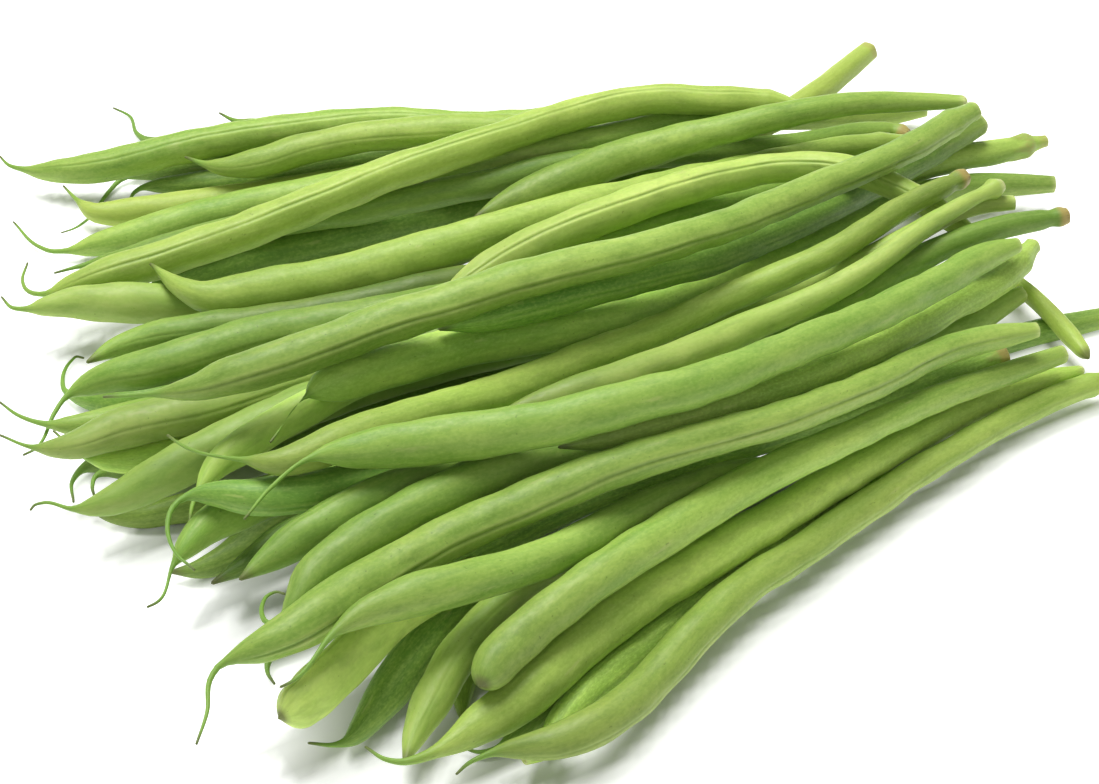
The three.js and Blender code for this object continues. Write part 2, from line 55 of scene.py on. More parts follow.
# ---- The view ----
SIGHT_POINT = Vector((-19.414, -35.573, 15.0))
SIGHT_DISTANCE = 500.0
SIGHT_ELEVATION = math.radians(40)
BUNDLE_HEADING = math.radians(30)
SHEET_UNIT = 0.18
IMAGE_WIDTH = 1099
SENSOR_WIDTH = 36.0

# ---- Floor (mm) and lights (metres and watts) ----
FLOOR_ALBEDO = 0.75
FLOOR_GLOW = 0.65
FLOOR_LEVEL = -0.05
FLOOR_NEAR, FLOOR_LINES, FLOOR_FAR = 150.0, 151, 4000.0
# The floor's own light fades out between these distances from a bean's outline.
GLOW_FROM, GLOW_TO = -2.0, 1.0
SHADING_RADIUS = 1.5
WORLD_LIGHT = 0.285
KEY_PLACE, KEY_SIZE, KEY_POWER = (0.0, 0.35, 1.0), 0.7, 14.3
FILL_PLACE, FILL_SIZE, FILL_POWER = (-0.6, -0.9, 0.7), 0.9, 1.7

# ---- How finely a pod is meshed ----
CORNERS = 8
HALF_CORNER = math.pi / CORNERS
BODY_STEP = 1.6
END_STEP = 0.32
STEP_GROWTH = 0.075
SEAM_ZONE = (0.0, 2.5, 5.0, 8.0, 12.0, 17.0)
FLANK_FROM, FLANK_TO, FLANK_POINTS = 29.0, 161.0, 12
BACK_ZONE = (170.0, 175.5, 180.0)

# ---- A pod's stretches ----
TAIL_SLIMMING = 0.40
TAIL_THIN, TAIL_RISE = 0.6, 1.0
TAIL_BASE, TAIL_SHORTEST = 0.9, 2.6
DRY_LENGTH, DRY_RADIUS = 3.5, 0.9
BODY_FROM, BODY_RISE = 1.2, 2.0
NECK_LENGTH = 16.0
CUT_EDGE = 0.6
# The shortest and longest waves of each random unevenness along a bean.
GIRTH_WAVES = (22, 60)
WAVER_WAVES = (18, 50)
SEAM_WAVES = (30, 80)
STRENGTH_WAVES = (12, 40)
RIPPLE_WAVES = (7, 16)

# ---- Relief on a pod of FULL_RADIUS ----
FULL_RADIUS = 4.0
LIP_HEIGHT, LIP_PLACE, LIP_WIDTH = 0.13, 0.62, 0.36
GROOVE_DEPTH, GROOVE_WIDTH = 0.15, 0.26
SPINE_HEIGHT, SPINE_WIDTH = 0.10, 0.9
SEED_SPACING, SEED_LENGTH, SEED_HEIGHT = 10.5, 3.3, 0.20
FIRST_SEED, SEED_SIZES, SEED_GAPS = (0.2, 1.0), (0.3, 1.4), (0.8, 1.2)
SMALLEST_SHARE = 0.02
SEAM_ON_ENDS = 0.25
SEAM_MEAN, SEAM_UNEVEN = 0.8, 0.35
RIPPLE_HEIGHT = 0.045
OVAL = 0.04
TWIST = math.radians(24)
SEAM_WANDER = math.radians(5)
WAVER = 0.16
GIRTH_WAVER = 0.03
GIRTH_SLIMMING = 0.035
# RIDGE_SHADE: how much of the neck's pale colour is taken out of the hollows between its ridges, as
# painted shade.
NECK_RIDGES, RIDGE_HEIGHT, RIDGE_SHADE = 5, 0.13, 0.45

# ---- Stem ends ----
# Each end's swellings and waists: (height, place before the end, width).
END_SHAPES = {
    "stem": ((0.30, 6.5, 1.3), (-0.25, 1.5, 2.0)),
    "calyx": ((0.28, 5.0, 1.3), (-0.22, 1.4, 2.2)),
    "knob": ((0.95, 0.8, 1.3), (0.25, 2.6, 1.4)),
    "brown": ((0.28, 1.4, 1.0), (-0.22, 3.6, 1.0)),
    "frayed": ((0.45, 0.2, 1.0), (0.30, 3.4, 1.2)),
}
CALYX_LOBES = 5
# A calyx is a cap of lobes: (where it starts before the end, where its lobes part).
CALYX_PLACES = {"calyx": (3.6, 5.6), "frayed": (-1.0, 2.0)}
CALYX_REACH, CALYX_HEIGHT, LOBE_SHARPNESS = 3.2, 0.30, 1.5
STUB_FROM, STUB_TO = 2.6, 1.2

# How each end closes: (share of the last radius, how far past the last ring in radii).
FLAT_CAP = ((0.97, 0.05), (0.88, 0.08), (0.60, 0.03), (0.25, 0.0))
ROUND_CAP = ((0.96, 0.22), (0.82, 0.50), (0.58, 0.72), (0.28, 0.86))
ROUND_ENDS = ("knob", "round")
BROWN_ENDS = {"brown": 1.0, "frayed": 0.9, "calyx": 0.4, "spotted": 0.45}

# ---- Each bean's look: its own colour, and its painted light and shade ----
# seam: how far the seam is turned up from the side that faces the view's foot, in degrees.
# depth: how strongly it shows. end: what the stem end is like. bright: how bright the skin is
# drawn. This is partly the bean's own tone and partly painted light and shade, which brings each
# bean to how lit or shaded it should look.
# tint: towards yellow if above 0, towards green if below. pale: how pale the neck turns.
# shade: painted light and shade along the bean. It says how much brighter or darker the tail end
# and the stem end are drawn than the middle, for ends that should look more or less lit.
# Beans not named here draw their seam, depth, end, bright and tint. For them, the drawn bright is
# only a random tone.
LOOKS = {
    "back_05": dict(seam=62, depth=0.7, bright=1.06, tint=0.05, shade=(0.85, 1.0)),
    "back_06": dict(seam=20, depth=0.4, end="cut", bright=1.08, tint=0.35, shade=(0.8, 0.75)),
    "back_07": dict(seam=150, depth=0.3, end="spotted", bright=1.02, tint=0.75),
    "back_08": dict(seam=170, depth=0.3, bright=1.02, tint=0.05),
    "middle_01": dict(seam=100, depth=0.3, end="brown", bright=0.90, tint=-0.70),
    "top_01": dict(seam=64, depth=0.9, end="stem", bright=1.10, tint=0.45, shade=(0.85, 1.0)),
    "top_02": dict(seam=-30, depth=0.3, end="round", bright=0.96, tint=0.05, shade=(0.7, 1.0)),
    "left_01": dict(seam=-80, depth=0.4, bright=0.88, tint=-0.35),
    "top_03": dict(seam=-80, depth=0.4, end="stem", bright=1.10, tint=0.30, shade=(0.85, 0.85)),
    "left_02": dict(seam=100, depth=0.4, bright=1.20),
    "left_03": dict(seam=30, depth=0.4, bright=0.50, tint=-0.30, shade=(2.0, 0.7)),
    "left_04": dict(seam=15, depth=0.3, bright=0.74, tint=-0.35, shade=(1.25, 0.8)),
    "left_05": dict(seam=120, depth=0.4, bright=0.9),
    "left_06": dict(seam=120, depth=0.4, bright=1.60, tint=0.15, shade=(0.8, 0.6)),
    "left_08": dict(seam=40, depth=0.6, bright=0.68, tint=-0.25),
    "left_09": dict(seam=150, depth=0.4, bright=0.76, tint=-0.55),
    "left_10": dict(seam=140, depth=0.4, bright=1.30, tint=-0.40, shade=(0.9, 0.65)),
    "left_11": dict(seam=30, depth=0.5, bright=0.94, tint=0.15),
    "left_12": dict(seam=100, depth=0.4, bright=0.98, tint=-0.45),
    "left_13": dict(seam=160, depth=0.4, end="cut", bright=1.03, tint=-0.10, shade=(0.65, 1.0)),
    "left_14": dict(seam=-5, depth=0.6, bright=1.22, tint=-0.60, shade=(0.8, 1.0)),
    "left_15": dict(seam=90, depth=0.3, end="brown", bright=0.90, tint=-0.55, pale=0.0,
                    shade=(0.9, 0.8)),
    "end_01": dict(seam=120, depth=0.3, end="calyx", bright=0.94, tint=-0.20, pale=0.3),
    "end_02": dict(seam=90, depth=0.3, end="calyx", bright=1.10, tint=0.15),
    "middle_02": dict(seam=-60, depth=0.4, end="flat", bright=1.36, tint=-0.05, pale=0.0,
                      shade=(0.9, 0.55)),
    "middle_03": dict(seam=8, depth=0.6, end="cut", bright=0.95, tint=-0.30, shade=(1.6, 0.65)),
    "middle_04": dict(seam=100, depth=0.3, end="cut", bright=1.05, tint=0.10, pale=0.4,
                      shade=(1.0, 0.8)),
    "top_04": dict(seam=58, depth=1.2, end="cut", bright=1.10, tint=0.10, pale=0.0,
                   shade=(0.75, 0.85)),
    "top_05": dict(seam=16, depth=1.1, end="stem", bright=0.97, tint=0.05, pale=0.4,
                   shade=(0.75, 0.9)),
    "right_01": dict(seam=60, depth=0.5, end="cut", bright=1.18, tint=0.60, pale=0.2),
    "front_01": dict(seam=-50, depth=0.3, end="brown", bright=1.30, tint=0.35, pale=0.0,
                     shade=(0.5, 0.5)),
    "front_02": dict(seam=110, depth=0.3, end="knob", bright=0.93, tint=-0.15, shade=(0.65, 1.0)),
    "front_03": dict(seam=150, depth=0.4, end="cut", bright=0.95, tint=-0.25, shade=(0.75, 1.0)),
    "front_04": dict(seam=0, depth=0.4, end="stem", bright=1.90, tint=-0.25, shade=(0.7, 0.82)),
    "front_05": dict(seam=-70, depth=0.4, end="flat", bright=0.96, tint=-0.30),
    "front_06": dict(seam=-10, depth=0.4, end="frayed", bright=1.70, tint=0.00, shade=(1.0, 0.9)),
    "front_07": dict(seam=55, depth=0.6, bright=1.40, tint=0.30, shade=(0.85, 0.85)),
    "front_08": dict(seam=20, depth=0.4, bright=1.20, tint=0.00, shade=(0.85, 1.0)),
    "front_09": dict(seam=118, depth=0.8, bright=1.28, tint=0.05, shade=(0.95, 1.0)),
    "front_10": dict(seam=60, depth=0.4, bright=1.04, tint=-0.25, shade=(0.85, 1.0)),
    "front_11": dict(seam=22, depth=1.25, end="flat", bright=0.81, tint=0.05, shade=(1.05, 1.12)),
    "front_12": dict(seam=150, depth=0.4, end="cut", bright=0.98, tint=-0.20, shade=(0.7, 1.0)),
    "front_13": dict(seam=20, depth=0.4, end="cut", bright=1.80, tint=0.20),
    "front_14": dict(seam=-40, depth=0.4, end="round", bright=1.45, tint=0.30, pale=0.0,
                     shade=(0.6, 0.9)),
    "front_15": dict(seam=-28, depth=0.7, end="flat", bright=1.20, tint=0.05, shade=(0.6, 0.7)),
    "front_16": dict(seam=10, depth=0.5, end="stem", bright=0.91, tint=0.25, shade=(0.7, 1.1)),
}
DRAWN_ENDS = ("cut", "stem", "cut", "calyx")
DRAWN_DEPTHS, DRAWN_BRIGHTS, DRAWN_TINTS = (0.2, 0.6), (0.9, 1.1), (-0.3, 0.3)
GRAIN_PLACES = (0, 400)

# ---- Colours ----


def srgb(red, green, blue):
    """A linear colour from the 0 to 255 values of a screen colour."""
    shares = [value / 255 for value in (red, green, blue)]
    return tuple(s / 12.92 if s <= 0.04045 else ((s + 0.055) / 1.055) ** 2.4 for s in shares) + (1,)


SKINS = {
    "skin_light": (srgb(150, 184, 76), srgb(198, 214, 118)),
    "skin_fresh": (srgb(114, 156, 54), srgb(170, 196, 94)),
    "skin_deep": (srgb(80, 120, 40), srgb(124, 158, 66)),
    "skin_olive": (srgb(108, 134, 50), srgb(152, 172, 82)),
}
TINT_SHARE = 0.45
YELLOW = srgb(200, 204, 100)
GREEN = srgb(96, 154, 50)
FIBRE_PALE = srgb(190, 214, 110)
BLOTCH_DARK = srgb(82, 120, 38)
SCUFF = srgb(188, 194, 122)
SPECK = srgb(74, 92, 30)
LIP_PALE = srgb(206, 220, 128)
GROOVE_DARK = srgb(66, 104, 26)
TAIL_GREEN = srgb(116, 156, 60)
TAIL_DRY = srgb(92, 92, 56)
NECK_PALE = srgb(184, 208, 100)
CALYX_GREEN = srgb(156, 176, 88)
CUT_RIM = srgb(206, 218, 142)
CUT_HEART = srgb(178, 194, 100)
CUT_BROWN = srgb(174, 152, 90)
CUT_SPOT = srgb(112, 84, 44)

# ---- The skin's pattern ----
# Noises over the skin: (size of a grain in mm, how far it is drawn out along the bean, detail).
PATCHES = (5.5, 4.5, 2.5)
BLOTCHES = (2.6, 2.2, 3.0)
SCUFFS = (1.8, 3.5, 3.0)
FINE = (0.42, 1.6, 3.0)
SPECKS = (0.8, 1.0, 1.0)
FIBRES = (0.8, 14.0, 3.0)
MOTTLE = (0.9, 1.3, 5.0)
# How much of a colour a noise or mark lays on: (level where it starts, where it is full,
# share at the start, share when full).
PATCHES_SHOW = (0.3, 0.7, 0.1, 0.9)
FIBRES_SHOW = (0.35, 0.70, 0.0, 0.24)
BLOTCHES_SHOW = (0.50, 0.72, 0.0, 0.34)
MOTTLE_SHOW = (0.42, 0.70, 0.0, 0.38)
FINE_SHOW = (0.45, 0.70, 0.0, 0.22)
SCUFFS_SHOW = (0.66, 0.74, 0.0, 0.30)
SPECKS_SHOW = (0.74, 0.78, 0.0, 0.35)
TAIL_SHOWS = (0.2, 0.9, 0.0, 0.7)
CALYX_BROWNS = (0.45, 0.65, 0.0, 0.5)
HEART_SHOWS = (0.1, 0.5, 0.0, 1.0)
SPOTS_SHOW = (0.45, 0.6, 0.0, 1.0)
SPOTS_BY_BROWN = (0.0, 1.0, 0.25, 0.8)
STUB_BROWNS = (0.0, 1.0, 0.0, 0.85)
ROUGHNESS_BY_MOTTLE = (0.3, 0.7, 0.42, 0.58)
# The greatest share of each mark's colour.
LIP_SHARE, GROOVE_SHARE = 0.30, 0.34
NECK_SHARE, DRY_SHARE, CALYX_SHARE, BROWN_SHARE = 0.35, 0.8, 0.85, 0.9
SKIN_SPECULAR = 0.32
FLESH_WEIGHT, FLESH_RADII, FLESH_SCALE = 0.15, (0.6, 1.0, 0.25), 1.2
BUMP_STRENGTH, BUMP_DEPTH = 0.45, 0.12
FLOOR_ROUGHNESS = 0.9


# ---- Small curves ----

def bump(distance, width):
    return np.exp(-(distance / width) ** 2)


def ramp(value):
    """Smooth step from 0 to 1."""
    value = np.clip(value, 0, 1)
    return value * value * (3 - 2 * value)


def wander(along, draw, shortest, longest):
    """A smooth random wave along a bean, within about -1 to 1."""
    wave = np.zeros_like(along)
    for weight in (0.5, 0.3, 0.2):
        wave += weight * np.sin(TURN * (along / draw.uniform(shortest, longest) + draw.uniform()))
    return wave


def smooth(knots, values, at):
    """A smooth curve through values at the knots, sampled at the places given."""
    values = np.asarray(values, float)
    rise = np.diff(values, axis=0) / np.diff(knots).reshape((-1,) + (1,) * (values.ndim - 1))
    slopes = np.empty_like(values)
    slopes[0], slopes[-1] = rise[0], rise[-1]
    gap = np.diff(knots)
    share = (gap[1:] / (gap[1:] + gap[:-1])).reshape((-1,) + (1,) * (values.ndim - 1))
    slopes[1:-1] = rise[:-1] * share + rise[1:] * (1 - share)
    if values.ndim == 1:
        slopes[1:-1][rise[:-1] * rise[1:] <= 0] = 0
    span = np.clip(np.searchsorted(knots, at, side="right") - 1, 0, len(knots) - 2)
    width = gap[span]
    t = (at - knots[span]) / width
    shape = (-1,) + (1,) * (values.ndim - 1)
    t, width = t.reshape(shape), width.reshape(shape)
    return ((1 + 2 * t) * (1 - t) ** 2 * values[span] + t * (1 - t) ** 2 * width * slopes[span]
            + t ** 2 * (3 - 2 * t) * values[span + 1] - t ** 2 * (1 - t) * width * slopes[span + 1])


def stations(length):
    """Places along a bean: close together near both ends, and wider apart on the body."""
    places = [0.0]
    while places[-1] < length:
        nearest = min(places[-1], length - places[-1])
        places.append(places[-1] + min(BODY_STEP, END_STEP + STEP_GROWTH * nearest))
    return np.array(places) * length / places[-1]


# ---- Reading a bean back from its solid ----

def corners_of(mesh):
    """The solid's corners in mm, each once, and the corners that each one is joined to."""
    places = np.zeros(len(mesh.vertices) * 3, np.float32)
    mesh.vertices.foreach_get("co", places)
    places = places.reshape(-1, 3) / MM
    mesh.calc_loop_triangles()
    triangles = np.zeros(len(mesh.loop_triangles) * 3, np.int32)
    mesh.loop_triangles.foreach_get("vertices", triangles)
    _, first, same = np.unique(places.round(2), axis=0, return_index=True, return_inverse=True)
    joined = [set() for _ in first]
    for a, b, c in same.ravel()[triangles].reshape(-1, 3):
        joined[a] |= {b, c}
        joined[b] |= {a, c}
        joined[c] |= {a, b}
    return places[first], joined


def ring_fit(points):
    """Centre and radius of a ring of eight corners, from the four that lie highest."""
    high = points[np.argsort(-points[:, 2])][:4]
    upper, lower = high[:2], high[2:]
    radius = np.linalg.norm(lower[0] - lower[1]) / (2 * math.cos(HALF_CORNER))
    over = upper.mean(axis=0) - lower.mean(axis=0)
    over /= np.linalg.norm(over)
    return lower.mean(axis=0) - radius * math.sin(HALF_CORNER) * over, radius


def course_of(node):
    """The centres and radii of a bean's rings, from its tail to its stem."""
    places, joined = corners_of(frame["nodes"][node].data)
    level = {next(i for i, near in enumerate(joined) if len(near) == CORNERS)}
    seen = set(level)
    rings = []
    while True:
        level = set().union(*(joined[i] for i in level)) - seen
        seen |= level
        if len(level) != CORNERS:
            break
        rings.append(ring_fit(places[sorted(level)]))
    if rings[0][1] > rings[-1][1]:
        rings.reverse()
    return np.array([centre for centre, _ in rings]), np.array([radius for _, radius in rings])


# ---- One pod's shape ----

half = list(SEAM_ZONE) + list(np.linspace(FLANK_FROM, FLANK_TO, FLANK_POINTS)) + list(BACK_ZONE)
ROUND = np.radians(half + [-angle for angle in half[-2:0:-1]])
SIDES = len(ROUND)


def tail_share(pod):
    """How far each place belongs to a thin tail. A bean with only a short tip has none."""
    thin = 1 - ramp((pod.radius - TAIL_THIN) / TAIL_RISE)
    reach = pod.along[np.argmax(pod.radius > TAIL_BASE)]
    return np.where(pod.along < pod.length / 2, thin, 0) * ramp(reach / TAIL_SHORTEST - 1)


def axis_of(node, look, draw):
    """A bean's smooth centre line, with its thickness and its stretches at each place."""
    centres, radii = course_of(node)
    knots = np.concatenate([[0], np.cumsum(np.linalg.norm(np.diff(centres, axis=0), axis=1))])
    pod = SimpleNamespace(length=knots[-1], along=stations(knots[-1]))
    pod.centre = smooth(knots, centres, pod.along)
    pod.radius = smooth(knots, radii, pod.along)
    pod.to_stem = pod.length - pod.along
    pod.neck = 1 - ramp(pod.to_stem / NECK_LENGTH)
    pod.body = ramp((pod.radius - BODY_FROM) / BODY_RISE) * (1 - pod.neck)
    pod.tail = tail_share(pod)
    pod.radius *= 1 - TAIL_SLIMMING * pod.tail
    girth = GIRTH_WAVER * wander(pod.along, draw, *GIRTH_WAVES) - GIRTH_SLIMMING
    pod.radius *= 1 + pod.body * girth
    for height, place, width in END_SHAPES.get(look["end"], ()):
        pod.radius += height * bump(pod.to_stem - place, width)

    direction = np.gradient(pod.centre, pod.along, axis=0)
    pod.direction = direction / np.linalg.norm(direction, axis=1)[:, None]
    side = np.cross(pod.direction, (0, 0, 1))
    pod.side = side / np.linalg.norm(side, axis=1)[:, None]
    pod.over = np.cross(pod.side, pod.direction)
    for axis in (pod.side, pod.over):
        aside = WAVER * pod.body * wander(pod.along, draw, *WAVER_WAVES)
        pod.centre = pod.centre + axis * aside[:, None]
    return pod


def seed_swellings(pod, draw):
    """How much the seeds within push the skin out, along the bean."""
    swelling = np.zeros_like(pod.along)
    place = draw.uniform(*FIRST_SEED) * SEED_SPACING
    while place < pod.length:
        swelling += draw.uniform(*SEED_SIZES) * bump(pod.along - place, SEED_LENGTH)
        place += SEED_SPACING * draw.uniform(*SEED_GAPS)
    return swelling * pod.body


def ripples(pod, draw):
    """Faint unevenness of the skin."""
    along, angle = pod.along[:, None], ROUND[None, :]
    total = 0
    for turns in (1, 2, 3):
        period = draw.uniform(*RIPPLE_WAVES)
        total = total + np.sin(TURN * (along / period + draw.uniform()) + turns * angle)
    return total * pod.body[:, None]


def calyx_cover(pod, look):
    """Share of the lobed cap that clasps the neck, at each place and angle."""
    if look["end"] not in CALYX_PLACES:
        return np.zeros((len(pod.along), SIDES))
    start, parting = CALYX_PLACES[look["end"]]
    edge = parting + CALYX_REACH * (0.5 + 0.5 * np.cos(CALYX_LOBES * ROUND)) ** LOBE_SHARPNESS
    before_edge = ramp(edge[None, :] - pod.to_stem[:, None] + 0.5)
    past_start = ramp(pod.to_stem[:, None] - start + 0.5)
    return before_edge * past_start


def relief_of(pod, look, draw):
    """How far the skin lies from the centre line, with the seam lips, groove and calyx on it."""
    radius = pod.radius[:, None]
    size = np.clip(radius / FULL_RADIUS, SMALLEST_SHARE, 1)
    uneven = SEAM_MEAN + SEAM_UNEVEN * wander(pod.along, draw, *STRENGTH_WAVES)
    shown = SEAM_ON_ENDS + (1 - SEAM_ON_ENDS) * pod.body
    strength = look["depth"] * (shown * uneven)[:, None] * size
    arc = ROUND[None, :] * radius / size
    back_arc = (math.pi - np.abs(ROUND))[None, :] * radius / size
    lip = bump(np.abs(arc) - LIP_PLACE, LIP_WIDTH) * strength
    groove = bump(arc, GROOVE_WIDTH) * strength
    calyx = calyx_cover(pod, look)
    relief = LIP_HEIGHT * lip - GROOVE_DEPTH * groove
    relief = relief + size * SPINE_HEIGHT * bump(back_arc, SPINE_WIDTH)
    seeds = seed_swellings(pod, draw)[:, None] * np.sin(ROUND)[None, :] ** 2
    relief = relief + SEED_HEIGHT * seeds
    relief = relief + RIPPLE_HEIGHT * ripples(pod, draw) + CALYX_HEIGHT * calyx
    ridge = np.cos(NECK_RIDGES * ROUND + draw.uniform(0, TURN))[None, :]
    relief = relief + RIDGE_HEIGHT * size * pod.neck[:, None] * ridge
    reach = radius * (1 + OVAL * pod.body[:, None] * np.cos(2 * ROUND)[None, :]) + relief
    # Painted shade: the neck's pale colour is drawn weaker in the hollows between its ridges.
    neck = pod.neck[:, None] * (1 - RIDGE_SHADE * (0.5 - 0.5 * ridge))
    return reach, lip, groove, calyx, neck


def pod_skin(pod, look, draw):
    """Vertices of one pod, ring by ring with the two end points last, and the marks on them."""
    reach, lip, groove, calyx, neck = relief_of(pod, look, draw)
    twist = TWIST * (pod.along / pod.length - 0.5) * draw.choice([-1, 1])
    seam = math.radians(look["seam"]) + twist + SEAM_WANDER * wander(pod.along, draw, *SEAM_WAVES)
    turn = seam[:, None] + ROUND[None, :]
    outward = (pod.side[:, None, :] * np.cos(turn)[..., None]
               + pod.over[:, None, :] * np.sin(turn)[..., None])
    rings = pod.centre[:, None, :] + outward * reach[..., None]

    cap = np.array(ROUND_CAP if look["end"] in ROUND_ENDS else FLAT_CAP)
    last, radius, ahead = pod.centre[-1], pod.radius[-1], pod.direction[-1]
    cap_rings = [last + ahead * radius * past + (rings[-1] - last) * shrink for shrink, past in cap]
    tip = pod.centre[0] - pod.direction[0] * pod.radius[0]
    stop = last + ahead * radius * cap[-1][1]
    rows = np.concatenate([rings, cap_rings])
    vertices = np.concatenate([rows.reshape(-1, 3), [tip, stop]])
    vertices[:, 2] = np.maximum(vertices[:, 2], 0)

    def over_cap(values, on_cap, at_tip, at_stop):
        """A mark given for each ring, or for each ring and side, carried over the cap."""
        values = np.broadcast_to(np.asarray(values).reshape(len(rings), -1), (len(rings), SIDES))
        capped = np.repeat(np.broadcast_to(on_cap, len(cap)), SIDES)
        return np.concatenate([values.ravel(), capped, [at_tip, at_stop]])

    thin = 1 - ramp((pod.radius - DRY_RADIUS) / DRY_RADIUS)
    dry = thin * (1 - ramp(pod.along / DRY_LENGTH))
    near_cut = bump(pod.to_stem, CUT_EDGE)
    stub = 1 - ramp((pod.to_stem - STUB_TO) / (STUB_FROM - STUB_TO))
    # Painted light and shade: the skin is drawn brighter or darker towards the tail and towards the
    # stem end, fading out by the bean's middle, after the look's shade.
    at_tail, at_stem = look["shade"]
    bright = 1 + (at_tail - 1) * (1 - ramp(2 * pod.along / pod.length))
    bright += (at_stem - 1) * (1 - ramp(2 * pod.to_stem / pod.length))
    marks = {
        "bright": over_cap(bright, at_stem, at_tail, at_stem),
        "lip": over_cap(lip, 0, 0, 0),
        "groove": over_cap(groove, 0, 0, 0),
        "calyx": over_cap(calyx, 0, 0, 0),
        "tail": over_cap(pod.tail, 0, pod.tail[0], 0),
        "dry": over_cap(dry, 0, dry[0], 0),
        "neck": over_cap(neck, 1, 0, 1),
        "stub": over_cap(stub, 1, 0, 1),
        "cut": over_cap(near_cut * 0.5, 1, 0, 1),
        "heart": over_cap(np.zeros(len(rings)), 1 - cap[:, 0], 0, 1),
    }
    around = np.tile(ROUND, len(rows))
    grain = np.zeros((len(vertices), 3))
    grain[:-2, 0] = FULL_RADIUS * np.cos(around)
    grain[:-2, 1] = FULL_RADIUS * np.sin(around)
    grain[:-2, 2] = np.repeat(np.concatenate([pod.along, pod.length + cap[:, 1]]), SIDES)
    grain[-1, 2] = pod.length
    return vertices, marks, grain


def pod_faces(count):
    """The faces of a skin of this many vertices: rows of quads, and a fan at each end."""
    near = np.arange(SIDES)
    after = (near + 1) % SIDES
    row = np.arange((count - 2) // SIDES - 1)[:, None] * SIDES
    a, b = row + near, row + after
    quads = np.stack([a, a + SIDES, b + SIDES, b], axis=-1).reshape(-1, 4)
    last = count - 2 - SIDES
    start = [(count - 2, int(i), int(j)) for i, j in zip(near, after)]
    finish = [(count - 1, last + int(j), last + int(i)) for i, j in zip(near, after)]
    return quads.tolist() + start + finish


def write_attribute(mesh, name, values):
    """A number or a vector for each vertex, for the material to read."""
    kind, field = ("FLOAT_VECTOR", "vector") if values.ndim == 2 else ("FLOAT", "value")
    attribute = mesh.attributes.new(name, kind, "POINT")
    attribute.data.foreach_set(field, values.astype(np.float32).ravel())


def make_bean(node, slot, draw):
    """Makes the dressed piece that stands for one bean, and gives its course."""
    short = node.removeprefix("bean_")
    look = dict(
        seam=draw.uniform(0, 360),
        depth=draw.uniform(*DRAWN_DEPTHS),
        end=str(draw.choice(DRAWN_ENDS)),
        bright=draw.uniform(*DRAWN_BRIGHTS),
        tint=draw.uniform(*DRAWN_TINTS),
        pale=1.0,
        shade=(1.0, 1.0),
    )
    look.update(LOOKS.get(short, {}))
    pod = axis_of(node, look, draw)
    vertices, marks, grain = pod_skin(pod, look, draw)
    grain[:, 2] += draw.uniform(*GRAIN_PLACES)
    mesh = bpy.data.meshes.new("pod_" + short)
    mesh.from_pydata((vertices * MM).tolist(), [], pod_faces(len(vertices)))
    mesh.shade_smooth()
    # The bean's brightness: its own tone and its painted light and shade together.
    marks["bright"] *= look["bright"]
    marks["yellow"] = np.full(len(vertices), max(look["tint"], 0.0))
    marks["green"] = np.full(len(vertices), max(-look["tint"], 0.0))
    marks["pale"] = np.full(len(vertices), look["pale"])
    marks["brown"] = np.full(len(vertices), BROWN_ENDS.get(look["end"], 0.0))
    for name, values in marks.items():
        write_attribute(mesh, name, values)
    write_attribute(mesh, "grain", grain)
    mesh.update()
    piece = bpy.data.objects.new("pod_" + short, mesh)
    bpy.context.scene.collection.objects.link(piece)
    mesh.materials.append(skin_material(slot))
    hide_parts(node)
    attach(piece, "root")
    return pod.centre, pod.radius


# ---- The skin's material ----

class Nodes:
    """Short calls for building one material's node tree."""

    def __init__(self, material):
        self.tree = material.node_tree
        self.tree.nodes.clear()

    def add(self, kind, **settings):
        node = self.tree.nodes.new(kind)
        for name, value in settings.items():
            setattr(node, name, value)
        return node

    def feed(self, socket, value):
        if isinstance(value, bpy.types.NodeSocket):
            self.tree.links.new(value, socket)
        else:
            socket.default_value = value

    def mark(self, name, output="Fac"):
        return self.add("ShaderNodeAttribute", attribute_name=name).outputs[output]

    def mix(self, share, first, second):
        node = self.add("ShaderNodeMix", data_type="RGBA")
        self.feed(node.inputs["Factor"], share)
        self.feed(node.inputs["A"], first)
        self.feed(node.inputs["B"], second)
        return node.outputs["Result"]

    def math(self, operation, first, second=0.0):
        node = self.add("ShaderNodeMath", operation=operation, use_clamp=True)
        self.feed(node.inputs[0], first)
        self.feed(node.inputs[1], second)
        return node.outputs[0]

    def spread(self, value, low, high, to_low=0.0, to_high=1.0):
        node = self.add("ShaderNodeMapRange", clamp=True)
        self.feed(node.inputs["Value"], value)
        ends = zip(("From Min", "From Max", "To Min", "To Max"), (low, high, to_low, to_high))
        for name, number in ends:
            node.inputs[name].default_value = number
        return node.outputs[0]

    def noise(self, coordinates, size, stretch=1.0, detail=3.0):
        """Noise with grains of about this size in mm, drawn out along the bean."""
        drawn = self.add("ShaderNodeVectorMath", operation="MULTIPLY")
        self.feed(drawn.inputs[0], coordinates)
        drawn.inputs[1].default_value = (1.0, 1.0, 1.0 / stretch)
        node = self.add("ShaderNodeTexNoise")
        self.feed(node.inputs["Vector"], drawn.outputs[0])
        node.inputs["Scale"].default_value = 1.0 / size
        node.inputs["Detail"].default_value = detail
        return node.outputs["Fac"]

    def brighten(self, colour, value):
        node = self.add("ShaderNodeHueSaturation")
        self.feed(node.inputs["Color"], colour)
        self.feed(node.inputs["Value"], value)
        return node.outputs[0]


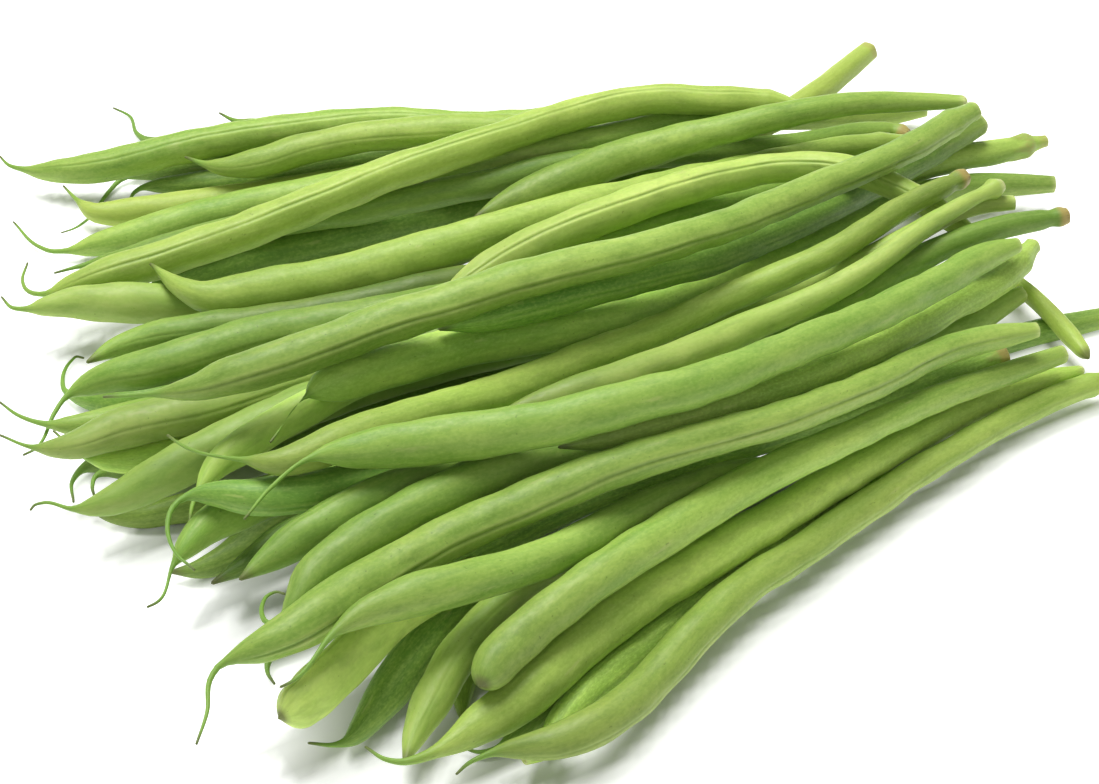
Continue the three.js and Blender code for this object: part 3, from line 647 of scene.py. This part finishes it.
def skin_colour(n, slot, grain, mottle, fibres):
    """The skin without its ends: patches, fibres, blotches, scuffs and the seam's marks."""
    dark, light = SKINS[slot]
    colour = n.mix(n.spread(n.noise(grain, *PATCHES), *PATCHES_SHOW), dark, light)
    colour = n.mix(n.spread(fibres, *FIBRES_SHOW), colour, FIBRE_PALE)
    colour = n.mix(n.spread(n.noise(grain, *BLOTCHES), *BLOTCHES_SHOW), colour, BLOTCH_DARK)
    colour = n.mix(n.spread(mottle, *MOTTLE_SHOW), colour, dark)
    colour = n.mix(n.spread(n.noise(grain, *FINE), *FINE_SHOW), colour, FIBRE_PALE)
    colour = n.mix(n.math("MULTIPLY", n.mark("yellow"), TINT_SHARE), colour, YELLOW)
    colour = n.mix(n.math("MULTIPLY", n.mark("green"), TINT_SHARE), colour, GREEN)
    colour = n.mix(n.spread(n.noise(grain, *SCUFFS), *SCUFFS_SHOW), colour, SCUFF)
    colour = n.mix(n.spread(n.noise(grain, *SPECKS), *SPECKS_SHOW), colour, SPECK)
    colour = n.mix(n.math("MULTIPLY", n.mark("lip"), LIP_SHARE), colour, LIP_PALE)
    return n.mix(n.math("MULTIPLY", n.mark("groove"), GROOVE_SHARE), colour, GROOVE_DARK)


def end_colour(n, colour, mottle):
    """The tail, neck, calyx and cut end over the skin's colour."""
    brown = n.mark("brown")
    # The pale neck, drawn weaker in its ridge hollows as painted shade.
    pale = n.math("MULTIPLY", n.mark("neck"), n.mark("pale"))
    colour = n.mix(n.math("MULTIPLY", pale, NECK_SHARE), colour, NECK_PALE)
    colour = n.mix(n.spread(n.mark("tail"), *TAIL_SHOWS), colour, TAIL_GREEN)
    colour = n.mix(n.math("MULTIPLY", n.mark("dry"), DRY_SHARE), colour, TAIL_DRY)
    calyx = n.mix(n.spread(mottle, *CALYX_BROWNS), CALYX_GREEN, CUT_BROWN)
    colour = n.mix(n.math("MULTIPLY", n.mark("calyx"), CALYX_SHARE), colour, calyx)
    face = n.mix(n.spread(n.mark("heart"), *HEART_SHOWS), CUT_RIM, CUT_HEART)
    face = n.mix(n.math("MULTIPLY", brown, BROWN_SHARE), face, CUT_BROWN)
    spots = n.math("MULTIPLY", n.spread(mottle, *SPOTS_SHOW), n.spread(brown, *SPOTS_BY_BROWN))
    face = n.mix(spots, face, CUT_SPOT)
    browned = n.math("MULTIPLY", brown, n.spread(n.mark("stub"), *STUB_BROWNS))
    colour = n.mix(browned, colour, CUT_BROWN)
    return n.mix(n.mark("cut"), colour, face)


made_materials = {}


def skin_material(slot):
    """Bean skin: mottled and faintly fibrous, pale lips along a dark seam line, painted light and
    shade.
    """
    if slot in made_materials:
        return made_materials[slot]
    material = bpy.data.materials.new(slot)
    material.use_nodes = True
    made_materials[slot] = material
    n = Nodes(material)
    grain = n.mark("grain", "Vector")
    fibres = n.noise(grain, *FIBRES)
    mottle = n.noise(grain, *MOTTLE)
    colour = skin_colour(n, slot, grain, mottle, fibres)
    # Painted light and shade: the skin brightened or darkened per bean and towards its ends, along
    # with its own tone.
    colour = n.brighten(colour, n.mark("bright"))
    colour = end_colour(n, colour, mottle)

    shader = n.add("ShaderNodeBsdfPrincipled")
    n.feed(shader.inputs["Base Color"], colour)
    n.feed(shader.inputs["Roughness"], n.spread(mottle, *ROUGHNESS_BY_MOTTLE))
    shader.inputs["Specular IOR Level"].default_value = SKIN_SPECULAR
    shader.inputs["Subsurface Weight"].default_value = FLESH_WEIGHT
    shader.inputs["Subsurface Radius"].default_value = FLESH_RADII
    shader.inputs["Subsurface Scale"].default_value = FLESH_SCALE * MM
    relief = n.add("ShaderNodeBump")
    relief.inputs["Strength"].default_value = BUMP_STRENGTH
    relief.inputs["Distance"].default_value = BUMP_DEPTH * MM
    halves = [n.math("MULTIPLY", noise, 0.5) for noise in (fibres, mottle)]
    n.feed(relief.inputs["Height"], n.math("ADD", *halves))
    n.feed(shader.inputs["Normal"], relief.outputs[0])
    out = n.add("ShaderNodeOutputMaterial")
    n.feed(out.inputs["Surface"], shader.outputs[0])
    return material


# ---- Camera, floor and lights ----

def add_camera():
    forward = Vector((
        math.sin(BUNDLE_HEADING) * math.cos(SIGHT_ELEVATION),
        math.cos(BUNDLE_HEADING) * math.cos(SIGHT_ELEVATION),
        -math.sin(SIGHT_ELEVATION),
    ))
    data = bpy.data.cameras.new("camera")
    data.sensor_width = SENSOR_WIDTH
    data.sensor_fit = "HORIZONTAL"
    data.lens = SIGHT_DISTANCE / SHEET_UNIT * SENSOR_WIDTH / IMAGE_WIDTH
    data.clip_start = 0.01
    camera = bpy.data.objects.new("camera", data)
    camera.location = (SIGHT_POINT - forward * SIGHT_DISTANCE) * MM
    camera.rotation_euler = forward.to_track_quat("-Z", "Y").to_euler()
    bpy.context.scene.collection.objects.link(camera)
    bpy.context.scene.camera = camera


def floor_material():
    """A white sheet that glows a little, so that shadows on it stay faint."""
    material = bpy.data.materials.new("pale_floor")
    material.use_nodes = True
    n = Nodes(material)
    shader = n.add("ShaderNodeBsdfPrincipled")
    shader.inputs["Base Color"].default_value = (FLOOR_ALBEDO, FLOOR_ALBEDO, FLOOR_ALBEDO, 1)
    shader.inputs["Roughness"].default_value = FLOOR_ROUGHNESS
    shader.inputs["Specular IOR Level"].default_value = 0.0
    shader.inputs["Emission Color"].default_value = (1, 1, 1, 1)
    n.feed(shader.inputs["Emission Strength"], n.mark("glow"))
    out = n.add("ShaderNodeOutputMaterial")
    n.feed(out.inputs["Surface"], shader.outputs[0])
    return material


def clearance_of(places, courses):
    """How far each place on the floor, in mm, lies outside the beans that stand over it."""
    nearest = np.full(len(places), np.inf)
    for centre, radius in courses:
        thick = radius > SHADING_RADIUS
        for point, reach in zip(centre[thick, :2], radius[thick]):
            nearest = np.minimum(nearest, np.linalg.norm(places - point, axis=1) - reach)
    return nearest


def add_floor(courses):
    """A wide sheet, finely divided under the heap, where it gives no light of its own."""
    near = np.linspace(-FLOOR_NEAR, FLOOR_NEAR, FLOOR_LINES)
    lines = np.concatenate([[-FLOOR_FAR], near, [FLOOR_FAR]])
    count = len(lines)
    places = np.stack(np.meshgrid(lines, lines), axis=-1).reshape(-1, 2)
    corner = (np.arange(count - 1)[:, None] * count + np.arange(count - 1)).ravel()
    faces = np.stack([corner, corner + 1, corner + count + 1, corner + count], axis=-1)
    vertices = np.column_stack([places, np.full(len(places), FLOOR_LEVEL)]) * MM
    mesh = bpy.data.meshes.new("floor")
    mesh.from_pydata(vertices.tolist(), [], faces.tolist())
    glow = FLOOR_GLOW * ramp((clearance_of(places, courses) - GLOW_FROM) / (GLOW_TO - GLOW_FROM))
    write_attribute(mesh, "glow", glow)
    floor = bpy.data.objects.new("floor", mesh)
    bpy.context.scene.collection.objects.link(floor)
    mesh.materials.append(floor_material())


def add_area_light(name, place, size, power):
    data = bpy.data.lights.new(name, "AREA")
    data.shape = "DISK"
    data.size = size
    data.energy = power
    light = bpy.data.objects.new(name, data)
    light.location = place
    light.rotation_euler = (-Vector(place)).to_track_quat("-Z", "Y").to_euler()
    bpy.context.scene.collection.objects.link(light)


def add_lights():
    world = bpy.data.worlds.new("studio")
    world.use_nodes = True
    world.node_tree.nodes["Background"].inputs["Color"].default_value = (1, 1, 1, 1)
    world.node_tree.nodes["Background"].inputs["Strength"].default_value = WORLD_LIGHT
    bpy.context.scene.world = world
    add_area_light("key", KEY_PLACE, KEY_SIZE, KEY_POWER)
    add_area_light("fill", FILL_PLACE, FILL_SIZE, FILL_POWER)


add_camera()
slots = {part["node"]: part["material_slot"] for part in frame["record"]["subparts"]}
courses = []
for number, node in enumerate(sorted(slots)):
    courses.append(make_bean(node, slots[node], np.random.default_rng(SEED + number)))
add_floor(courses)
add_lights()
bpy.context.scene.view_settings.view_transform = "Standard"
